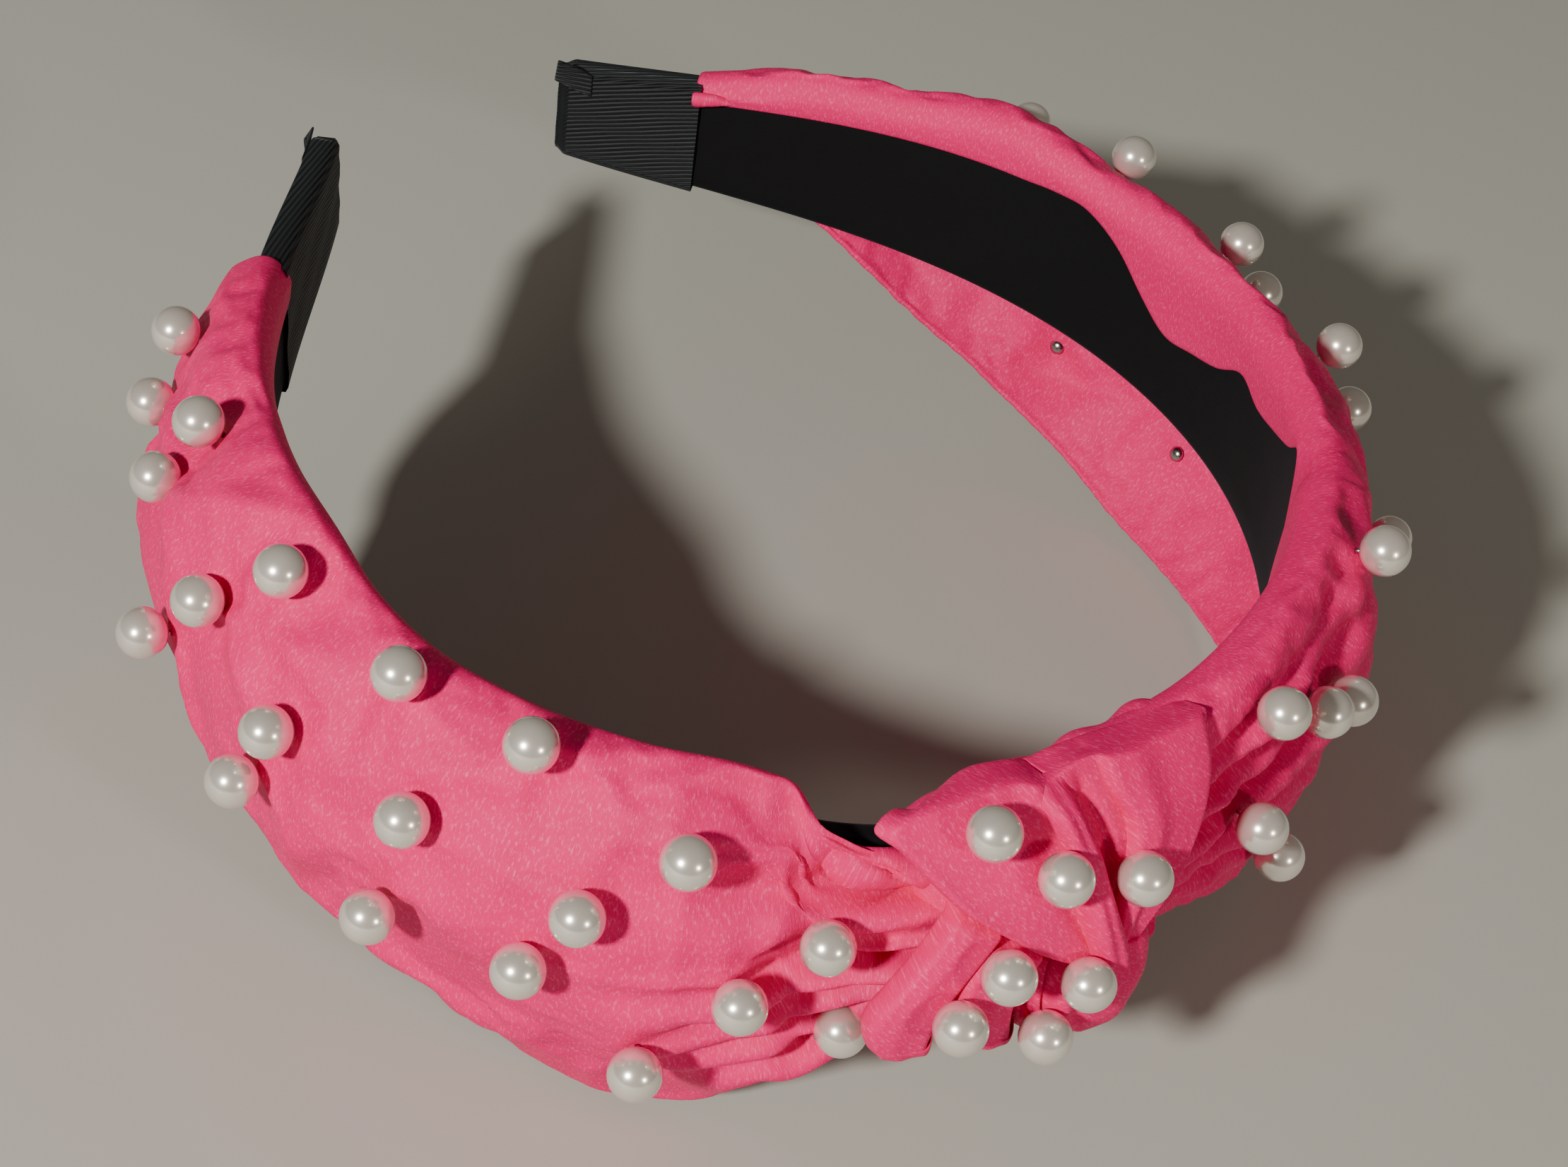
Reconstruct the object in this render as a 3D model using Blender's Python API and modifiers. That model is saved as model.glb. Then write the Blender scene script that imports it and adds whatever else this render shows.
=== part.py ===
"""Knotted headband with pearl studs, lying on its lower edge with the knot towards -Y.

Frame: metres, +Z up, origin under the middle of the model's box, on the surface it lies on.
The band is drawn along its own length: s is the distance from the crown along the core,
negative on the left arm (-X) and positive on the right, o is the distance outwards from
the core's middle surface, and h is the height above the core's centre line.
"""

import math

import bmesh
import bpy
import numpy as np
from mathutils import Matrix, Vector

MM = 0.001

# Driving dimensions, in millimetres and degrees.
BAND_LENGTH = 384.0          # core, from tip to tip round the curve
ARM_SWEEP = 129.0            # how far each arm turns from the crown to its tip
CORE_WIDTH_CROWN = 26.0
CORE_WIDTH_TIP = 12.7
CORE_THICKNESS = 1.6
LINING_THICKNESS = 0.5
LINING_SETBACK = 0.5         # lining edge inside the core edge
COVER_THICKNESS = 1.0        # two layers of satin
COVER_LIP = 3.5              # how far the cover folds down over the inside of the top edge
COVER_BULGE = 9.5            # how far the cover stands out from the core at mid height
COVER_DROP = 24.0            # how far the cover hangs below the core's lower edge
COVER_FULL_TO = 105.0        # full bulge and drop up to this distance from the crown
GATHER_LENGTH = 24.0         # the cover is gathered over this length next to the knot
GATHER_RIGHT = 90.0          # and its bulge on the right arm over this one
GATHER_SHARE = 0.15          # share of the fullness left where it enters the knot
WRAP_LEFT = 34.0             # length of each grosgrain end wrap
WRAP_RIGHT = 20.0
WRAP_THICKNESS = 0.6
BEAD_DIAMETER = 6.0
PIN_DIAMETER = 0.9
CAP_DIAMETER = 2.3
CAP_THICKNESS = 0.5
LEFT_HINGE = -30.0           # where the arms flex, at the two sides of the knot
RIGHT_HINGE = 8.0
KNOT_PROUD = 15.0            # how far the knot would stand out at its fullest
KNOT_TOP = 15.0              # heights of its ends, and of its fullest line
KNOT_BOTTOM = -28.0
KNOT_FULLEST = -12.0

# Clearances, in millimetres.
GAP = 0.3                    # between pieces that touch
SEAT_GAP = 0.65              # bead and rivet cap to the curved cloth between them
HINGE_GAP = 0.3              # core end to hinge axis
LINING_HINGE_GAP = 0.6
COVER_HINGE_GAP = 2.5        # room for the cover's end face to swing
HOLE_CLEARANCE = 0.3         # round a pin or a cap

# Curvature along an arm, as a share of its mean: tight at the crown, slightly reversed at the tip.
CURVE_CROWN = 1.345
CURVE_SQUARE = 0.391
CURVE_FOURTH = -2.374

# Pearls as (s, h) on the covers and on the four folds of the knot, set out by hand.
PEARLS_LEFT = (
    (-50, 8), (-66, 13), (-81, 13), (-99, 13), (-124, 12), (-146, 7),
    (-38, 0), (-58, 1), (-75, 3), (-91, 2), (-106, 5), (-124, 5), (-142, 0),
    (-34.5, -16), (-45, -6), (-62, -6), (-76, -8), (-93, -5), (-112, -4), (-52, -16),
)
PEARLS_RIGHT = (
    (12, 12), (39, 13), (82, 4), (100, 5), (115, 10), (130, 7),
    (11.5, -3), (21, 6), (28, 2), (65, -9), (81, -5), (98, -2),
    (20, -15), (76, -28), (99, -27.5), (120, -23.5),
)
PEARLS_KNOT = (
    ("knot_front_wrap", -23, 12), ("knot_front_wrap", -16.5, 7),
    ("knot_right_wrap", -8.5, 4.5),
    ("knot_lower_strap", -21.7, -1.5), ("knot_lower_strap", -25.4, -7),
    ("knot_lower_loop", -14, -5), ("knot_lower_loop", -16.8, -12),
)

# Where the knot's four folds meet.
KNOT_SPLIT_S = -11.5
KNOT_STRAP_S = -19.0
KNOT_SPLIT_H = 2.0

STEPS_PER_MM = 2
HALF_LENGTH = BAND_LENGTH / 2


# The centre line: heading is the integral of the curvature, position the integral of the heading.

def heading(s):
    t = s / HALF_LENGTH
    turn = CURVE_CROWN * t + CURVE_SQUARE * t**3 / 3 + CURVE_FOURTH * t**5 / 5
    return math.radians(ARM_SWEEP) * turn


def centre_line():
    reach = int(HALF_LENGTH + 10) * STEPS_PER_MM
    s = np.arange(-reach, reach + 1) / STEPS_PER_MM
    angle = np.array([heading(value) for value in s])
    middle = (angle[1:] + angle[:-1]) / 2
    x = np.concatenate([[0.0], np.cumsum(np.cos(middle))]) / STEPS_PER_MM
    y = np.concatenate([[0.0], np.cumsum(np.sin(middle))]) / STEPS_PER_MM
    return s, x - x[reach], y - y[reach]


LINE_S, LINE_X, LINE_Y = centre_line()


def place(s, o, h):
    """A point of the band's own frame, in metres."""
    angle = heading(s)
    x = np.interp(s, LINE_S, LINE_X) + o * math.sin(angle)
    y = np.interp(s, LINE_S, LINE_Y) - o * math.cos(angle)
    return Vector((x, y, h)) * MM


def half_width(s):
    t = abs(s) / HALF_LENGTH
    return (CORE_WIDTH_CROWN + (CORE_WIDTH_TIP - CORE_WIDTH_CROWN) * t**3) / 2


# Offsets across the band, from the inside out.
CORE_OUT = CORE_THICKNESS / 2
LINING_OUT = -CORE_OUT - GAP
LINING_IN = LINING_OUT - LINING_THICKNESS
LIP_OUT = LINING_IN - GAP
COVER_IN = CORE_OUT + GAP + SEAT_GAP + CAP_THICKNESS + 0.75


def fullness(s, gather_right):
    """1 where the cover is at its widest, less towards the end wrap and towards the knot."""
    end = HALF_LENGTH - (WRAP_LEFT if s < 0 else WRAP_RIGHT)
    t = (abs(s) - COVER_FULL_TO) / (end - COVER_FULL_TO)
    towards_tip = 1 - min(max(t, 0.0), 1.0) ** 1.5
    from_knot = max((LEFT_HINGE - s) / GATHER_LENGTH, (s - RIGHT_HINGE) / gather_right)
    u = min(max(from_knot, 0.0), 1.0)
    gathered = GATHER_SHARE + (1 - GATHER_SHARE) * u * u * (3 - 2 * u)
    return towards_tip * gathered


def cover_side(s, t):
    """The cover's inner face from its shoulder (t = 0) to its hem (t = 1), as (o, h)."""
    top = half_width(s) + 0.6
    closed = -half_width(s) - 2.0
    hanging = -CORE_WIDTH_CROWN / 2 - 2.0 - COVER_DROP
    hem = closed + (hanging - closed) * fullness(s, GATHER_LENGTH)
    belly = 1.0 + COVER_BULGE * fullness(s, GATHER_RIGHT)
    return COVER_IN + belly * math.sin(math.pi * 0.985 * t**0.9), top + (hem - top) * t


def cover_profile(s, side_points):
    """The cover's inner face from the lip inside the band, over the top edge, to the hem."""
    half = half_width(s)
    points = [
        (LIP_OUT, half - COVER_LIP),
        (LIP_OUT, half + 0.5),
        (-0.5, half + 1.6),
        (COVER_IN - 1.2, half + 1.5),
    ]
    points += [cover_side(s, i / side_points) for i in range(side_points + 1)]
    o, h = points[-1]
    return points + [(o, h - 1.5)]


def cover_at(s, h):
    """Share t down the cover's side at height h."""
    top = cover_side(s, 0.0)[1]
    hem = cover_side(s, 1.0)[1]
    return min(max((h - top) / (hem - top), 0.0), 0.97)


# Blender helpers.

def clear_scene():
    for obj in list(bpy.data.objects):
        bpy.data.objects.remove(obj, do_unlink=True)


def collection(name):
    made = bpy.data.collections.new(name)
    bpy.context.scene.collection.children.link(made)
    return made


def material(name, rgb, roughness, metallic=0.0):
    made = bpy.data.materials.new(name)
    made.use_nodes = True
    shader = made.node_tree.nodes["Principled BSDF"]
    shader.inputs["Base Color"].default_value = (*rgb, 1.0)
    shader.inputs["Roughness"].default_value = roughness
    shader.inputs["Metallic"].default_value = metallic
    made.diffuse_color = (*rgb, 1.0)
    return made


def add_object(name, mesh, mat, home):
    obj = bpy.data.objects.new(name, mesh)
    if mat and not mesh.materials:
        mesh.materials.append(mat)
    home.objects.link(obj)
    return obj


def mesh_from(bm, name):
    bmesh.ops.recalc_face_normals(bm, faces=bm.faces)
    mesh = bpy.data.meshes.new(name)
    bm.to_mesh(mesh)
    bm.free()
    mesh.shade_smooth()
    mesh.set_sharp_from_angle(angle=math.radians(40))
    return mesh


def grid_of(rows):
    """A grid from bmesh, its points moved to the given rows of points."""
    bm = bmesh.new()
    across, along = len(rows[0]), len(rows)
    bmesh.ops.create_grid(bm, x_segments=across - 1, y_segments=along - 1, size=1.0)
    points = sorted(bm.verts, key=lambda v: (round(v.co.y, 5), round(v.co.x, 5)))
    for i, row in enumerate(rows):
        for j, point in enumerate(row):
            points[i * across + j].co = point
    return bm


def sheet(name, rows, thickness, mat, home):
    """A closed sheet: a grid given thickness on the side its faces point to."""
    bm = grid_of(rows)
    mesh = bpy.data.meshes.new(name)
    bm.to_mesh(mesh)
    bm.free()
    obj = add_object(name, mesh, mat, home)
    solid = obj.modifiers.new("Thickness", "SOLIDIFY")
    solid.thickness = thickness * MM
    solid.offset = 1.0
    solid.use_even_offset = True
    return obj


def stations(first, last, step):
    count = max(1, round(abs(last - first) / step))
    return [first + (last - first) * i / count for i in range(count + 1)]


# Pieces.

def strip(name, first, last, inner, thickness, setback, mat, home):
    """A flat strip that follows the core, such as the core itself or its lining."""
    rows = []
    for s in stations(first, last, 8.0):
        edge = half_width(s) - setback
        rows.append([place(s, inner, edge), place(s, inner, -edge)])
    return sheet(name, rows, thickness, mat, home)


def cover(name, first, last, pearls, mat, home, cutters):
    rows = []
    for s in stations(first, last, 7.0):
        rows.append([place(s, o, h) for o, h in cover_profile(s, 8)])
    obj = sheet(name, rows, COVER_THICKNESS, mat, home)
    holes = pin_holes(name + "_holes", pearls, PIN_DIAMETER, cutters)
    cut = obj.modifiers.new("Pin holes", "BOOLEAN")
    cut.object = holes
    return obj


def stud_frame(s, h):
    """Origin on the cover's outer face and outward direction of a pearl stud."""
    t = cover_at(s, h)
    middle = place(s, *cover_side(s, t))
    above = max(t - 0.02, 0.0)
    down = place(s, *cover_side(s, t + 0.02)) - place(s, *cover_side(s, above))
    along = place(s + 1.0, *cover_side(s + 1.0, t)) - place(s - 1.0, *cover_side(s - 1.0, t))
    out = down.cross(along).normalized()
    if out.dot(place(s, 10.0, 0.0) - place(s, 0.0, 0.0)) < 0:
        out.negate()
    return middle + out * COVER_THICKNESS * MM, out


def turned(out):
    return out.to_track_quat("Z", "Y").to_matrix().to_4x4()


def pin_holes(name, frames, diameter, cutters):
    bm = bmesh.new()
    radius = (diameter / 2 + HOLE_CLEARANCE) * MM
    for origin, out in frames:
        matrix = Matrix.Translation(origin) @ turned(out)
        bmesh.ops.create_cone(
            bm, cap_ends=True, segments=6, radius1=radius, radius2=radius,
            depth=8 * COVER_THICKNESS * MM, matrix=matrix,
        )
    obj = add_object(name, mesh_from(bm, name), None, cutters)
    obj.hide_render = True
    obj.display_type = "WIRE"
    return obj


def stud_mesh(mat):
    """Bead, pin and rivet cap turned about +Z, with z = 0 on the cloth's outer face."""
    bead = BEAD_DIAMETER / 2
    centre = bead + SEAT_GAP
    pin = PIN_DIAMETER / 2
    cap = CAP_DIAMETER / 2
    cap_top = -COVER_THICKNESS - SEAT_GAP
    profile = []
    join = math.asin(pin / bead)
    for i in range(6):
        angle = math.pi / 2 - (math.pi - join) * i / 5
        profile.append((bead * math.cos(angle), centre + bead * math.sin(angle)))
    profile[0] = (0.0, centre + bead)
    profile[-1] = (pin, centre - bead * math.cos(join))
    profile += [(pin, cap_top), (cap, cap_top), (cap * 0.6, cap_top - CAP_THICKNESS)]
    profile += [(0.0, cap_top - CAP_THICKNESS)]
    bm = bmesh.new()
    points = [bm.verts.new((r * MM, 0.0, z * MM)) for r, z in profile]
    edges = [bm.edges.new(pair) for pair in zip(points, points[1:])]
    bmesh.ops.spin(
        bm, geom=points + edges, cent=(0, 0, 0), axis=(0, 0, 1),
        angle=math.tau, steps=9, use_merge=True,
    )
    bmesh.ops.remove_doubles(bm, verts=bm.verts, dist=1e-6)
    mesh = mesh_from(bm, "pearl_stud")
    mesh.materials.append(mat)
    return mesh


def knot_height(a, h):
    """How far a fold stands out, at share a of its half width from its middle and at height h."""
    drop = 0.57 * ((h - KNOT_FULLEST) / 24) ** 2
    return KNOT_PROUD * (0.92 - drop) * (1 - 0.2 * a * a)


def knot_lean(h):
    """How much the knot's face leans upwards at height h."""
    return 2 * 0.57 * KNOT_PROUD * (h - KNOT_FULLEST) / 24**2


def knot_fold(name, s0, s1, h0, h1, pearls, mat, home, cutters):
    """One fold of the knot: a rounded block bent on to the band, with blind holes for its studs."""
    bm = bmesh.new()
    bmesh.ops.create_cube(bm, size=1.0)
    bmesh.ops.subdivide_edges(bm, edges=bm.edges, cuts=4, use_grid_fill=True)
    inner = CORE_OUT + GAP
    for vert in bm.verts:
        a, b, c = (2 * value for value in vert.co)
        round_off = 1 - 0.16 * (abs(a) ** 4 + abs(b) ** 4)
        s = (s0 + s1) / 2 + (s1 - s0) / 2 * a
        h = (h0 + h1) / 2 + (h1 - h0) / 2 * b
        o = inner + (c + 1) / 2 * knot_height(a, h) * round_off
        vert.co = place(s, o, h)
    obj = add_object(name, mesh_from(bm, name), mat, home)
    holes = pin_holes(name + "_holes", pearls, CAP_DIAMETER, cutters)
    cut = obj.modifiers.new("Stud holes", "BOOLEAN")
    cut.operation = "DIFFERENCE"
    cut.object = holes
    return obj


def end_wrap(name, first, last, mat, home):
    """A pocket of ribbon over the end of the core and its lining, open towards the crown."""
    inner = LINING_IN - GAP
    outer = CORE_OUT + GAP
    bm = bmesh.new()
    rings = []
    for s in stations(first, last, 7.0):
        edge = half_width(s) + GAP
        corners = ((inner, -edge), (outer, -edge), (outer, edge), (inner, edge))
        rings.append([bm.verts.new(place(s, o, h)) for o, h in corners])
    for near, far in zip(rings, rings[1:]):
        for i in range(4):
            j = (i + 1) % 4
            bm.faces.new((near[i], near[j], far[j], far[i]))
    bm.faces.new(rings[-1])
    bmesh.ops.recalc_face_normals(bm, faces=bm.faces)
    mesh = bpy.data.meshes.new(name)
    bm.to_mesh(mesh)
    bm.free()
    obj = add_object(name, mesh, mat, home)
    solid = obj.modifiers.new("Thickness", "SOLIDIFY")
    solid.thickness = WRAP_THICKNESS * MM
    solid.offset = 1.0
    solid.use_even_offset = True
    return obj


def stand_on_origin(objects):
    """Moves the whole model so that the middle of the underside of its box is the origin."""
    bpy.context.view_layer.update()
    graph = bpy.context.evaluated_depsgraph_get()
    low = Vector((math.inf,) * 3)
    high = Vector((-math.inf,) * 3)
    for obj in objects:
        if obj.hide_render or obj.type != "MESH":
            continue
        evaluated = obj.evaluated_get(graph)
        for vert in evaluated.to_mesh().vertices:
            point = obj.matrix_world @ vert.co
            low = Vector(map(min, low, point))
            high = Vector(map(max, high, point))
        evaluated.to_mesh_clear()
    shift = Vector((-(low.x + high.x) / 2, -(low.y + high.y) / 2, -low.z))
    for obj in objects:
        if obj.parent is None:
            obj.matrix_world = Matrix.Translation(shift) @ obj.matrix_world
    return shift


def main():
    clear_scene()
    home = collection("headband")
    cutters = collection("cutters")
    satin = material("pink satin", (0.91, 0.08, 0.26), 0.5)
    plastic = material("black ABS core", (0.02, 0.02, 0.02), 0.4)
    velvet = material("black satin lining", (0.008, 0.008, 0.012), 0.7)
    ribbon = material("black grosgrain", (0.012, 0.014, 0.018), 0.6)
    pearl = material("ivory pearl", (0.83, 0.80, 0.74), 0.15)
    end_left = HALF_LENGTH - WRAP_LEFT
    end_right = HALF_LENGTH - WRAP_RIGHT
    parts = {
        "left": (-HALF_LENGTH, LEFT_HINGE),
        "crown": (LEFT_HINGE, RIGHT_HINGE),
        "right": (RIGHT_HINGE, HALF_LENGTH),
    }
    for side, (first, last) in parts.items():
        at_first = HINGE_GAP if side != "left" else 0.0
        at_last = HINGE_GAP if side != "right" else 0.0
        strip("core_" + side, first + at_first, last - at_last,
              -CORE_OUT, CORE_THICKNESS, 0.0, plastic, home)
        at_first = LINING_HINGE_GAP if side != "left" else 1.0
        at_last = LINING_HINGE_GAP if side != "right" else 1.0
        strip("lining_" + side, first + at_first, last - at_last,
              LINING_IN, LINING_THICKNESS, LINING_SETBACK, velvet, home)
    mesh = stud_mesh(pearl)
    frames_left = [stud_frame(s, h) for s, h in PEARLS_LEFT]
    frames_right = [stud_frame(s, h) for s, h in PEARLS_RIGHT]
    cover("cover_left", -end_left, LEFT_HINGE - COVER_HINGE_GAP, frames_left, satin, home, cutters)
    cover("cover_right", RIGHT_HINGE + COVER_HINGE_GAP, end_right, frames_right, satin, home, cutters)
    end_wrap("end_wrap_left", -end_left - GAP, -HALF_LENGTH - GAP, ribbon, home)
    end_wrap("end_wrap_right", end_right + GAP, HALF_LENGTH + GAP, ribbon, home)
    left = LEFT_HINGE + COVER_HINGE_GAP
    right = RIGHT_HINGE - COVER_HINGE_GAP
    g = GAP / 2
    folds = {
        "knot_front_wrap": (left, KNOT_SPLIT_S - g, KNOT_SPLIT_H + g, KNOT_TOP),
        "knot_right_wrap": (KNOT_SPLIT_S + g, right, KNOT_SPLIT_H + g, KNOT_TOP),
        "knot_lower_strap": (left, KNOT_STRAP_S - g, KNOT_BOTTOM, KNOT_SPLIT_H - g),
        "knot_lower_loop": (KNOT_STRAP_S + g, right, KNOT_BOTTOM, KNOT_SPLIT_H - g),
    }
    placed = {"left": frames_left, "right": frames_right, "knot": []}
    for name, (s0, s1, h0, h1) in folds.items():
        frames = []
        for fold, s, h in PEARLS_KNOT:
            if fold != name:
                continue
            a = (s - (s0 + s1) / 2) / ((s1 - s0) / 2)
            o = CORE_OUT + GAP + knot_height(a, h)
            out = (place(s, 1.0, h + knot_lean(h)) - place(s, 0.0, h)).normalized()
            frames.append((place(s, o, h), out))
        knot_fold(name, s0, s1, h0, h1, frames, satin, home, cutters)
        placed["knot"] += frames
    for side, frames in placed.items():
        for number, (origin, out) in enumerate(frames, 1):
            obj = add_object(f"pearl_{side}_{number:02d}", mesh, pearl, home)
            obj.matrix_world = Matrix.Translation(origin) @ turned(out)
    shift = stand_on_origin(list(home.objects) + list(cutters.objects))
    for name, s in (("left_flex", LEFT_HINGE), ("right_flex", RIGHT_HINGE)):
        print(name, "axis passes through", tuple(round(v, 5) for v in place(s, 0, 0) + shift))


main()
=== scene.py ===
"""Looks for the knotted pearl headband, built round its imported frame.

Band coordinates are millimetres: s along the core from the crown, negative on the left arm,
o outwards from the core's middle surface, h above the core's centre line.
"""

import math

import bmesh
import bpy
import numpy as np
from mathutils import Matrix, Vector, noise


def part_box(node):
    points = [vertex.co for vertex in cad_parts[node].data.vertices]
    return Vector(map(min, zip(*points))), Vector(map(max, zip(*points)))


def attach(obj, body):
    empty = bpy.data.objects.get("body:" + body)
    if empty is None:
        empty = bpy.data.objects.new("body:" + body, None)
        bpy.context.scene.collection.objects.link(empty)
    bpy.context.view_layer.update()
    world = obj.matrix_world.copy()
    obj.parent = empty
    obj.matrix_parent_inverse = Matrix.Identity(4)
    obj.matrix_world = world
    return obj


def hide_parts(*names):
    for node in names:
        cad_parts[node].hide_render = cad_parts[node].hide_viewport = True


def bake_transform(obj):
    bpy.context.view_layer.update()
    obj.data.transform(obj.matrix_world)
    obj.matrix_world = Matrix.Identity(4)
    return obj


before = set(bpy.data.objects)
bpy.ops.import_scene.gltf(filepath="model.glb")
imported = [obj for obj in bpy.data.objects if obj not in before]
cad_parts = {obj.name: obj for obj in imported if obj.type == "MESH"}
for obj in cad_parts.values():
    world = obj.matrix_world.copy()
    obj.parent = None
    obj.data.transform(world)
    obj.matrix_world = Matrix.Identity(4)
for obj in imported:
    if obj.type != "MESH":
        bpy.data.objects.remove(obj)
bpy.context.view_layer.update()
MM = 0.001

# The frame's own sizes, read from its nodes or repeated from the part.
HALF_LENGTH = 192.0
ARM_SWEEP = 129.0
WRAP_LEFT, WRAP_RIGHT = 34.0, 20.0
CURVE = (1.345, 0.391, -2.374)
WIDTH_CROWN, WIDTH_TIP = 26.0, 12.7
COVER_IN = 3.0
CORE_OUT = 0.8
low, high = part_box("core_crown")
core_left, core_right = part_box("core_left"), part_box("core_right")
ORIGIN = Vector(((core_left[0][0] + core_right[1][0]) / 2, low[1] + CORE_OUT * MM, (low[2] + high[2]) / 2))


def heading(s):
    t = s / HALF_LENGTH
    return math.radians(ARM_SWEEP) * (CURVE[0] * t + CURVE[1] * t**3 / 3 + CURVE[2] * t**5 / 5)


def centre_line():
    s = np.arange(-424, 425) / 2
    angle = np.array([heading(value) for value in s])
    middle = (angle[1:] + angle[:-1]) / 2
    x = np.concatenate([[0.0], np.cumsum(np.cos(middle))]) / 2
    y = np.concatenate([[0.0], np.cumsum(np.sin(middle))]) / 2
    return s, x - x[424], y - y[424]


LINE_S, LINE_X, LINE_Y = centre_line()


def place(s, o, h):
    angle = heading(s)
    x = np.interp(s, LINE_S, LINE_X) + o * math.sin(angle)
    y = np.interp(s, LINE_S, LINE_Y) - o * math.cos(angle)
    return ORIGIN + Vector((x, y, h)) * MM


def smooth(a, b, x):
    t = min(max((x - a) / (b - a), 0.0), 1.0)
    return t * t * (3 - 2 * t)


def table(pairs):
    """A smooth curve through listed (s, value) pairs."""
    xs = np.array([p[0] for p in pairs], float)
    ys = np.array([p[1] for p in pairs], float)
    slopes = np.gradient(ys, xs)

    def value(x):
        x = min(max(x, xs[0]), xs[-1])
        i = min(max(int(np.searchsorted(xs, x)) - 1, 0), len(xs) - 2)
        w = xs[i + 1] - xs[i]
        t = (x - xs[i]) / w
        a, b = slopes[i] * w, slopes[i + 1] * w
        return float(
            ys[i] * (2 * t**3 - 3 * t**2 + 1) + a * (t**3 - 2 * t**2 + t)
            + ys[i + 1] * (3 * t**2 - 2 * t**3) + b * (t**3 - t**2)
        )

    return value


def half_width(s):
    t = abs(s) / HALF_LENGTH
    return (WIDTH_CROWN + (WIDTH_TIP - WIDTH_CROWN) * t**3) / 2


# Materials.

def colour(hex_code):
    values = [int(hex_code[i : i + 2], 16) / 255 for i in (1, 3, 5)]
    return tuple(v / 12.92 if v < 0.04045 else ((v + 0.055) / 1.055) ** 2.4 for v in values) + (1.0,)


def add(tree, kind, settings=None, **links):
    """A node with its settings, sockets given a value or linked from another node's output."""
    made = tree.nodes.new(kind)
    for key, value in (settings or {}).items():
        setattr(made, key, value)
    for key, value in links.items():
        by_number = key[0] == "i" and key[1:].isdigit()
        socket = made.inputs[int(key[1:]) if by_number else key.replace("_", " ")]
        if isinstance(value, bpy.types.NodeSocket):
            tree.links.new(value, socket)
        else:
            socket.default_value = value
    return made


def new_material(name):
    made = bpy.data.materials.new(name)
    made.use_nodes = True
    return made, made.node_tree, made.node_tree.nodes["Principled BSDF"]


def set_on(tree, shader, **values):
    for key, value in values.items():
        socket = shader.inputs[key.replace("_", " ")]
        if isinstance(value, bpy.types.NodeSocket):
            tree.links.new(value, socket)
        else:
            socket.default_value = value


def cloth_coordinates(tree, scale):
    """The cloth's own threads: its flat pattern in millimetres, turned and stretched."""
    uv = add(tree, "ShaderNodeUVMap", {"uv_map": "cloth"})
    return add(tree, "ShaderNodeMapping", None, Vector=uv.outputs[0], Scale=scale[:3],
               Rotation=(0, 0, math.radians(scale[3]))).outputs[0]


def satin():
    """Satin-back crepe, woven and piece-dyed: soft sheen, a fine diagonal twill and short slubs, each
    lightened in the base colour as a painted glint.
    """
    made, tree, shader = new_material("satin_back_crepe_woven_dyed")
    twill = add(tree, "ShaderNodeTexNoise", None, Vector=cloth_coordinates(tree, (5.5, 1.5, 1, 38)),
                Scale=1.0, Detail=3.0, Roughness=0.6)
    slub = add(tree, "ShaderNodeTexNoise", None, Vector=cloth_coordinates(tree, (3.6, 1.3, 1, -28)),
               Scale=1.0, Detail=5.0, Roughness=0.75)
    bright = add(tree, "ShaderNodeMapRange", None, Value=slub.outputs[0], From_Min=0.52, From_Max=0.66)
    cloud = add(tree, "ShaderNodeTexNoise", None, Vector=cloth_coordinates(tree, (0.09, 0.13, 1, 0)),
                Scale=1.0, Detail=2.0)
    depth = add(tree, "ShaderNodeMix", {"data_type": "RGBA"}, i0=cloud.outputs[0],
                i6=colour("#de0560"), i7=colour("#e90a6c"))
    # Painted glint: the slub mask lightens the base colour towards #ff5f9a. The slub's lower roughness and
    # its bump are its own.
    painted_glint = add(tree, "ShaderNodeMath", {"operation": "MULTIPLY"}, i0=bright.outputs[0], i1=0.75)
    tint = add(tree, "ShaderNodeMix", {"data_type": "RGBA"}, i0=painted_glint.outputs[0],
               i6=depth.outputs[2], i7=colour("#ff5f9a"))
    shine = add(tree, "ShaderNodeMapRange", None, Value=bright.outputs[0], To_Min=0.55, To_Max=0.36)
    height = add(tree, "ShaderNodeMath", {"operation": "ADD"}, i0=twill.outputs[0], i1=slub.outputs[0])
    bump = add(tree, "ShaderNodeBump", None, Height=height.outputs[0], Strength=0.55, Distance=0.00012)
    set_on(tree, shader, Base_Color=tint.outputs[2], Roughness=shine.outputs[0],
           Sheen_Weight=0.05, Sheen_Roughness=0.4, Sheen_Tint=colour("#ff6f9c"), Normal=bump.outputs[0])
    shader.inputs["Specular IOR Level"].default_value = 0.22
    return made


def velvet():
    """Black satin lining with a short brushed nap: nearly black, with a faint cool bloom."""
    made, tree, shader = new_material("satin_lining_brushed_nap")
    nap = add(tree, "ShaderNodeTexNoise", None, Vector=cloth_coordinates(tree, (0.5, 3.0, 1, 12)),
              Scale=1.0, Detail=6.0, Roughness=0.7)
    tone = add(tree, "ShaderNodeMix", {"data_type": "RGBA"}, i0=nap.outputs[0],
               i6=colour("#010102"), i7=colour("#07080a"))
    bump = add(tree, "ShaderNodeBump", None, Height=nap.outputs[0], Strength=0.4, Distance=0.0001)
    set_on(tree, shader, Base_Color=tone.outputs[2], Roughness=0.75, Sheen_Weight=0.08,
           Sheen_Roughness=0.5, Sheen_Tint=colour("#8f97a8"), Normal=bump.outputs[0])
    shader.inputs["Specular IOR Level"].default_value = 0.2
    return made


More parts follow.
